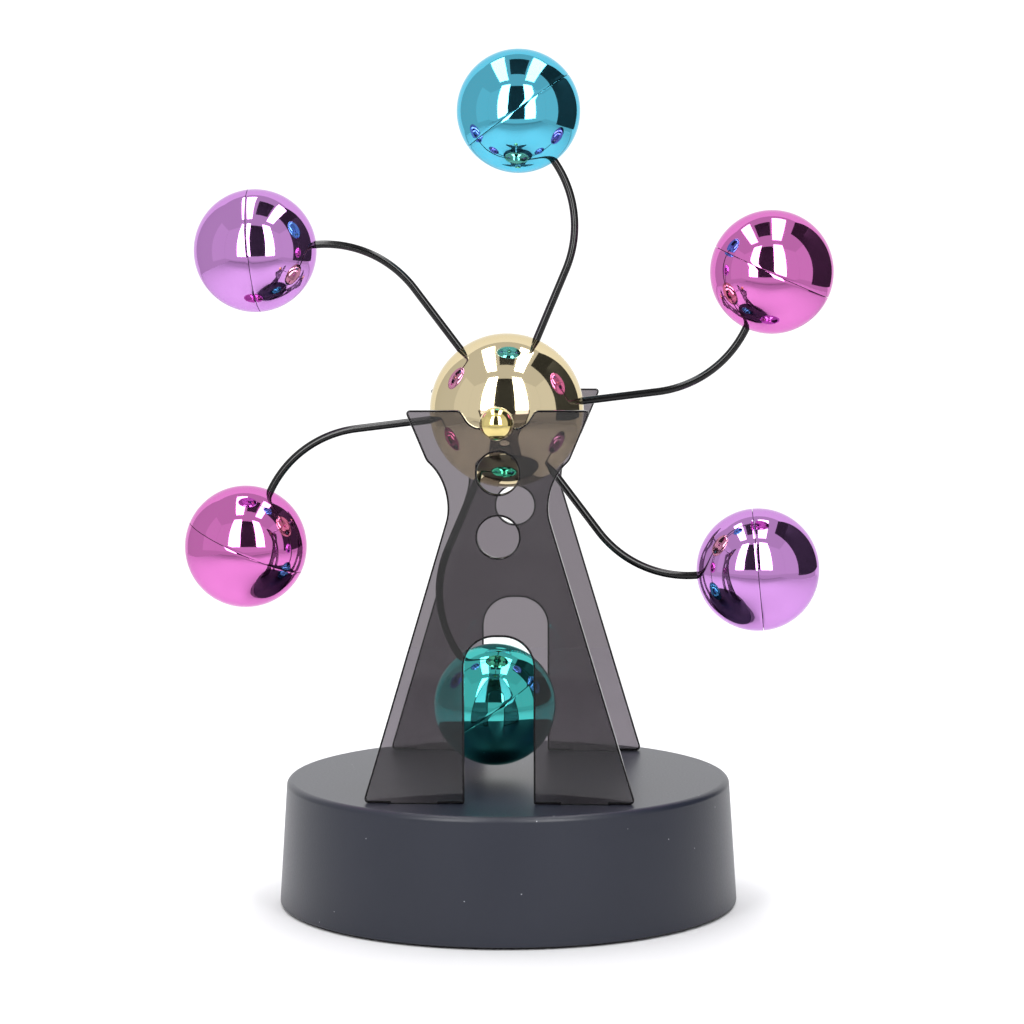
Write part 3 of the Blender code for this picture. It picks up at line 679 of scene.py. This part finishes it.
# Drive. A coil of enamelled copper on a nylon bobbin, and an upright circuit board with its transistor.
def enamelled_copper():
    """Wound wire of 0.3 mm: each turn is a fine ridge round the coil's axis."""
    made, tree, shader = start_material("enamelled_copper", Base_Color=colour("#c8703f"), Metallic=1.0)
    place = add_node(tree, "ShaderNodeTexCoord").outputs["Object"]
    turns = add_node(tree, "ShaderNodeTexWave", {"Vector": place}, wave_type="RINGS", rings_direction="Z")
    turns.inputs["Scale"].default_value = 500.0
    relief = add_node(tree, "ShaderNodeBump", {"Height": turns.outputs["Fac"]}, Strength=0.5, Distance=0.0001)
    tree.links.new(relief.outputs["Normal"], shader.inputs["Normal"])
    polish = add_node(tree, "ShaderNodeMapRange", {"Value": turns.outputs["Fac"]})
    polish.inputs["To Min"].default_value = 0.25
    polish.inputs["To Max"].default_value = 0.4
    tree.links.new(polish.outputs["Result"], shader.inputs["Roughness"])
    return made


paint_nodes(enamelled_copper(), "coil_winding")
paint_nodes(moulded_plastic("white_nylon", "#dcdcd4", "#e6e6e0", 0.5, grain_mm=0.4, grain_depth_mm=0.02), "coil_bobbin")
paint_nodes(moulded_plastic("green_solder_resist", "#0f4426", "#14532f", 0.3, 0.6, 0.02), "circuit_board")
paint_nodes(moulded_plastic("black_epoxy", "#141414", "#1c1c1c", 0.45, 0.3, 0.02), "drive_transistor")
paint_nodes(moulded_plastic("red_pvc_lead", "#8c1512", "#a01a16", 0.35, 0.5, 0.01), "coil_twin_lead")


# Studio. A pale floor in a white tent, two tall soft boxes in front with a dark gap between them, two strips
# overhead, and black cards on the right and overhead that the mirror balls pick up.
def plain_material(name, hex_code, glow=0.0):
    made, tree, shader = start_material(name, Base_Color=colour(hex_code), Roughness=0.9)
    if glow:
        shader.inputs["Base Color"].default_value = (0, 0, 0, 1)
        shader.inputs["Specular IOR Level"].default_value = 0.0
        shader.inputs["Emission Color"].default_value = colour(hex_code)
        shader.inputs["Emission Strength"].default_value = glow
    return made


def stage_sheet(name, width, height, centre, facing, material, seen=False):
    """A flat sheet that faces a point, and that only the reflections see unless seen is true."""
    bpy.ops.object.select_all(action="DESELECT")
    aim = (Vector(facing) - Vector(centre)).to_track_quat("Z", "Y").to_euler()
    bpy.ops.mesh.primitive_plane_add(size=1, location=centre, rotation=aim)
    sheet = bpy.context.object
    sheet.name = name
    sheet.scale = (width, height, 1)
    sheet.visible_camera = seen
    paint(sheet, material)
    return sheet


def soft_box(name, width, height, centre, facing, radiance):
    """A rectangular area light of a given radiance."""
    bpy.ops.object.select_all(action="DESELECT")
    aim = (Vector(facing) - Vector(centre)).to_track_quat("-Z", "Y").to_euler()
    bpy.ops.object.light_add(type="AREA", location=centre, rotation=aim)
    lamp = bpy.context.object
    lamp.name = name
    lamp.data.shape = "RECTANGLE"
    lamp.data.size = width
    lamp.data.size_y = height
    lamp.data.energy = radiance * math.pi * width * height
    lamp.visible_camera = False
    return lamp


bpy.ops.object.select_all(action="DESELECT")
bpy.ops.mesh.primitive_plane_add(size=1, location=(0, 0, 0))
floor = bpy.context.object
floor.name = "floor"
floor.scale = (0.76, 0.74, 1)
paint(floor, plain_material("pale_floor", "#c6c6c8"))

# The tent is small, so each ball sees its lamps from its own side. Its ceiling hangs at this height.
ceiling_z = 0.365
box_y = -0.24
for side in (-1, 1):
    soft_box(
        f"front_soft_box_{'left' if side < 0 else 'right'}", 0.10, 0.35,
        (side * 0.118, box_y, 0.27), (side * 0.118, 0, 0.27), 9.0,
    )
    soft_box(
        f"overhead_strip_{'left' if side < 0 else 'right'}", 0.065, 0.25,
        (side * 0.088, 0.0, ceiling_z), (side * 0.088, 0, 0), 7.0,
    )
rear_lamp = soft_box("rear_lamp", 0.76, 0.36, (0, 0.27, 0.5), (0, 0.27, 0), 4.6)
rear_lamp.visible_glossy = False
black = plain_material("black_card", "#242628")
stage_sheet("gap_card", 0.138, 0.325, (0.0, box_y - 0.01, 0.2575), (0.0, 0, 0.2575), black)
stage_sheet("overhead_card", 0.08, 0.145, (0.004, -0.005, ceiling_z), (0.004, -0.005, 0), black)
stage_sheet("right_card", 0.54, 0.77, (0.38, 0.21, 0.415), (0, 0.21, 0.415), black)
lit_cloth = plain_material("lit_cloth", "#ffffff", 0.86)
stage_sheet("front_cloth", 0.76, 0.37, (0, -0.27, 0.235), (0, 0, 0.235), lit_cloth)
for side in (-1, 1):
    stage_sheet(
        f"side_cloth_{'left' if side < 0 else 'right'}", 0.21, 0.37, (side * 0.385, -0.165, 0.235), (0, -0.165, 0.235),
        lit_cloth,
    )
back_sheet = stage_sheet(
    "back_sheet", 1.6, 1.2, (0, 0.75, 0.5), (0, 0, 0.5), plain_material("back_white", "#ffffff", 1.2)
)
back_sheet.visible_transmission = False

world = bpy.data.worlds.new("tent")
bpy.context.scene.world = world
world.use_nodes = True
tent = world.node_tree
light_path = add_node(tent, "ShaderNodeLightPath").outputs
direct_view = add_node(
    tent, "ShaderNodeMath", {0: light_path["Is Camera Ray"], 1: light_path["Is Transmission Ray"]}, operation="MAXIMUM"
)
brightness = add_node(tent, "ShaderNodeMapRange", {"Value": direct_view.outputs["Value"]})
brightness.inputs["To Min"].default_value = 0.72
brightness.inputs["To Max"].default_value = 1.2
tent.links.new(brightness.outputs["Result"], tent.nodes["Background"].inputs["Strength"])
tent.nodes["Background"].inputs["Color"].default_value = (1, 1, 1, 1)
bpy.context.scene.view_settings.view_transform = "Standard"


# Camera. It stands in front, a little to the right and a little above, with a long lens.
azimuth, elevation, roll = math.radians(3.171), math.radians(5.932), math.radians(-0.202)
camera_target = Vector((0.001011, 0, 0.081199))
camera_distance = 0.72
back = Vector((
    math.sin(azimuth) * math.cos(elevation),
    -math.cos(azimuth) * math.cos(elevation),
    math.sin(elevation),
))
right = Vector((math.cos(azimuth), math.sin(azimuth), 0))
up = back.cross(right)
turned_right = right * math.cos(roll) + up * math.sin(roll)
turned_up = back.cross(turned_right)
bpy.ops.object.select_all(action="DESELECT")
bpy.ops.object.camera_add()
camera = bpy.context.object
camera.data.lens = 122.72
camera.data.sensor_width = 36
axes = Matrix((turned_right, turned_up, back)).transposed().to_4x4()
camera.matrix_world = Matrix.Translation(camera_target + back * camera_distance) @ axes
bpy.context.scene.camera = camera
